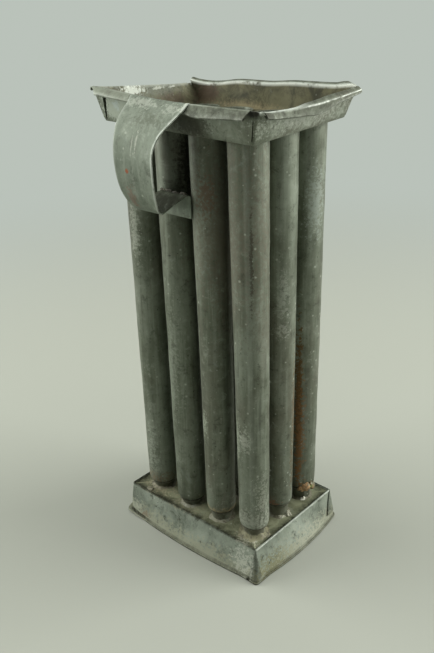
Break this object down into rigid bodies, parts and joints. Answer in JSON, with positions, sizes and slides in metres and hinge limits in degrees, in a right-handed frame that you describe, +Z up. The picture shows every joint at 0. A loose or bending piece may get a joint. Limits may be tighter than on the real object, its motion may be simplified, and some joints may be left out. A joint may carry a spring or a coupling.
{
  "type": "candle mould",
  "caption": "Old tinplate candle mould: tapered tubes in a grid between a flared top pan and an upside-down base pan, with a strap handle.",
  "frame": {"origin": "under the middle of the whole outline, on the surface that the mould stands on", "axes": "+Z up, +X along the mould's long side, and the strap handle on the -Y side"},
  "size_m": [0.1216, 0.1028, 0.2735],
  "materials": {
    "pan_tin": "dull oxidised tin with tallow stains inside",
    "base_tin": "pale, speckled, oxidised tin",
    "grey_tin": "dark grey oxidised tin, brighter along the tubes",
    "strap_tin": "grey-green oxidised tin, worn bright at its edges"
  },
  "bodies": {
    "root": {"top_pan": "pan_tin", "base_pan": "base_tin", "handle_strap": "strap_tin", "candle_tube_01": "grey_tin", "candle_tube_02": "grey_tin", "candle_tube_03": "grey_tin", "candle_tube_04": "grey_tin", "candle_tube_05": "grey_tin", "candle_tube_06": "grey_tin", "candle_tube_07": "grey_tin", "candle_tube_08": "grey_tin", "candle_tube_09": "grey_tin", "candle_tube_10": "grey_tin", "candle_tube_11": "grey_tin", "candle_tube_12": "grey_tin", "tube_tip_01": "grey_tin", "tube_tip_02": "grey_tin", "tube_tip_03": "grey_tin", "tube_tip_04": "grey_tin", "tube_tip_05": "grey_tin", "tube_tip_06": "grey_tin", "tube_tip_07": "grey_tin", "tube_tip_08": "grey_tin", "tube_tip_09": "grey_tin", "tube_tip_10": "grey_tin", "tube_tip_11": "grey_tin", "tube_tip_12": "grey_tin"}
  },
  "joints": []
}
